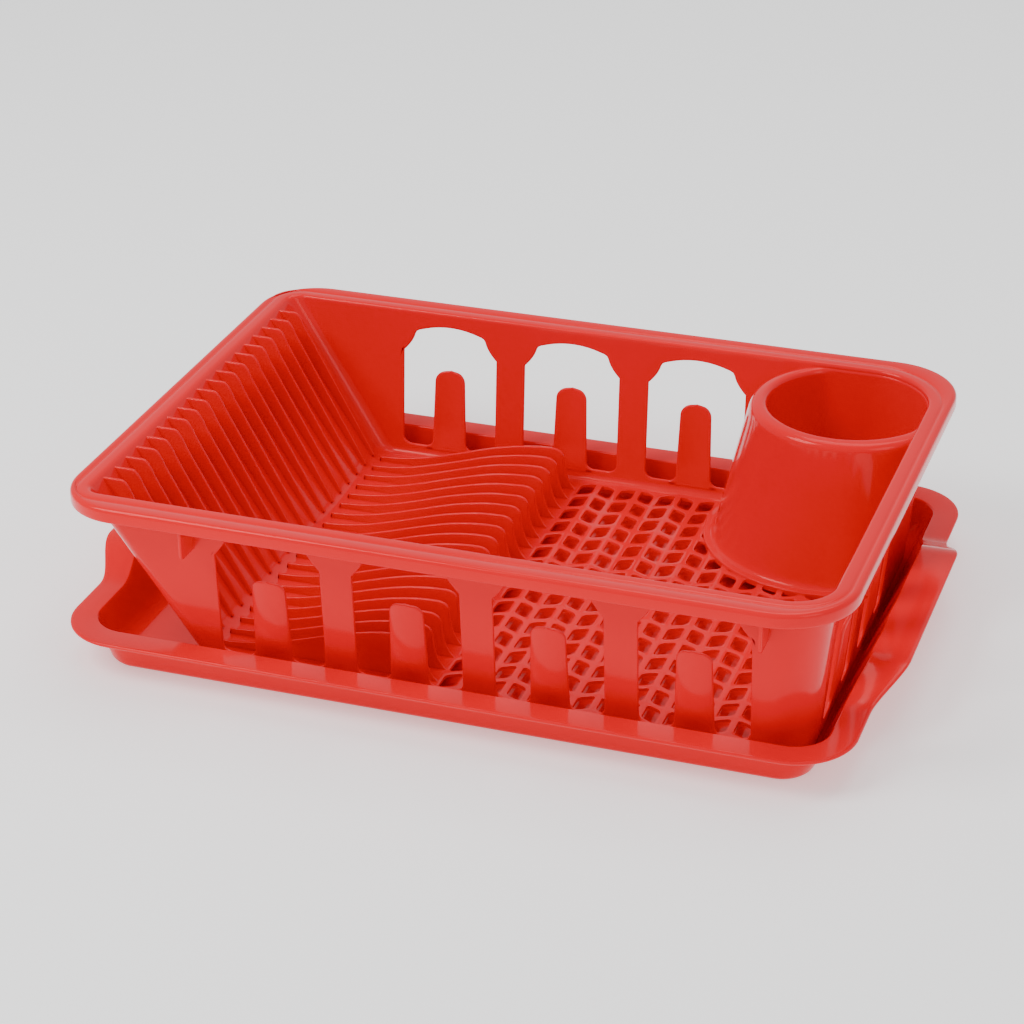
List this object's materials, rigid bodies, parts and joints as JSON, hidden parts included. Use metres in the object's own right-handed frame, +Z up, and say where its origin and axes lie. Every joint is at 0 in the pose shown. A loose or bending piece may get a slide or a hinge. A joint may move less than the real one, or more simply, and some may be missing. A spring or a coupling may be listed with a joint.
{
  "type": "dish drying rack",
  "caption": "One-piece moulded plastic dish rack with arched walls, plate ribs, a pierced drain floor and a corner cutlery cup, standing in a shallow drip tray with raised end handles",
  "frame": {"origin": "under the middle of the drip tray, on the surface it stands on", "axes": "+X along the length towards the cutlery cup, +Y across to the back wall, +Z up"},
  "size_m": [0.506, 0.356, 0.113],
  "materials": {
    "basket_plastic": "smooth glossy red moulded plastic",
    "tray_plastic": "smooth glossy red moulded plastic"
  },
  "bodies": {
    "tray": {"drip_tray": "tray_plastic", "tray_flange": "tray_plastic", "right_handle": "tray_plastic", "left_handle": "tray_plastic"},
    "basket": {"front_wall": "basket_plastic", "front_fingers": "basket_plastic", "back_wall": "basket_plastic", "back_fingers": "basket_plastic", "end_wall": "basket_plastic", "end_fingers": "basket_plastic", "plate_wall": "basket_plastic", "basket_rim": "basket_plastic", "rim_gussets": "basket_plastic", "wall_plate_ribs": "basket_plastic", "floor_plate_ribs": "basket_plastic", "drain_floor": "basket_plastic", "cutlery_cup": "basket_plastic", "cup_skirt": "basket_plastic", "cup_ledge": "basket_plastic", "basket_feet": "basket_plastic"}
  },
  "joints": [
    {"name": "basket_lift", "type": "slide", "parent": "tray", "child": "basket", "axis": [0, 0, 1], "range_m": [0, 0.15]}
  ]
}
